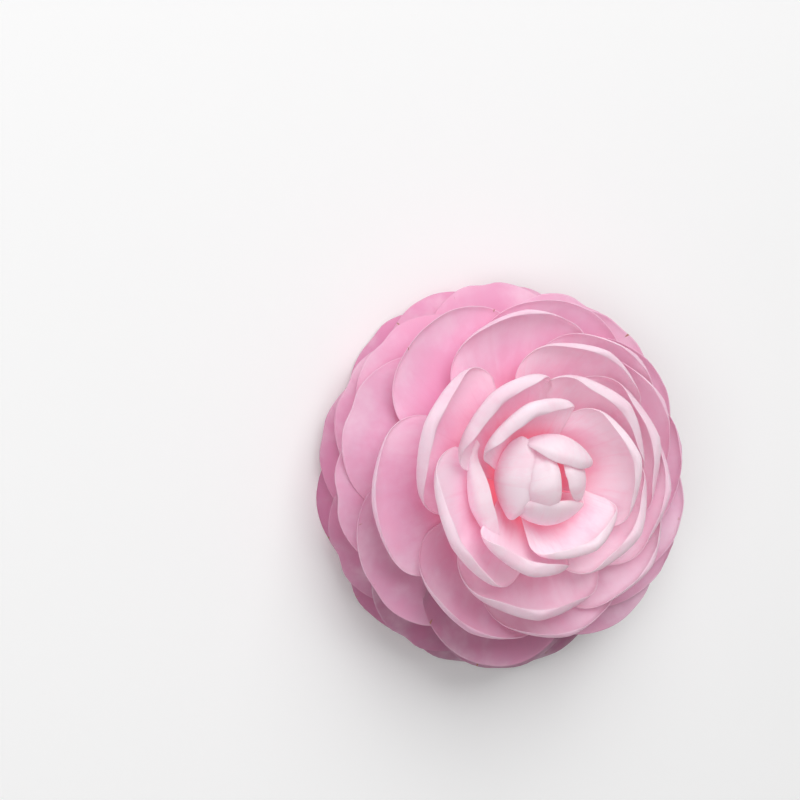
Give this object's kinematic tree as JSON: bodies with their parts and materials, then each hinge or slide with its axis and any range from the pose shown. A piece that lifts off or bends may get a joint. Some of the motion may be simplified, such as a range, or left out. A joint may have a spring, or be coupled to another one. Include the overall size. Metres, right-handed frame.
{
  "type": "camellia flower",
  "caption": "Formal double camellia bloom, picked, lying face up: spiral rows of rounded petals round a closed heart, with calyx and cut stalk behind.",
  "frame": {"origin": "on the surface that the flower rests on, under the middle of its bounding box, which is within 1 mm of the flower's axis", "axes": "+Z along the flower's axis out of its face, away from the stalk"},
  "size_m": [0.0986, 0.0977, 0.0435],
  "materials": {
    "inner_petal": "satin",
    "middle_petal": "satin",
    "outer_petal": "satin",
    "sepal": "matte",
    "stalk": "matte"
  },
  "bodies": {
    "root": {"inner_petals": "inner_petal", "middle_petals": "middle_petal", "outer_petals": "outer_petal", "calyx": "sepal", "stalk": "stalk"}
  },
  "joints": []
}
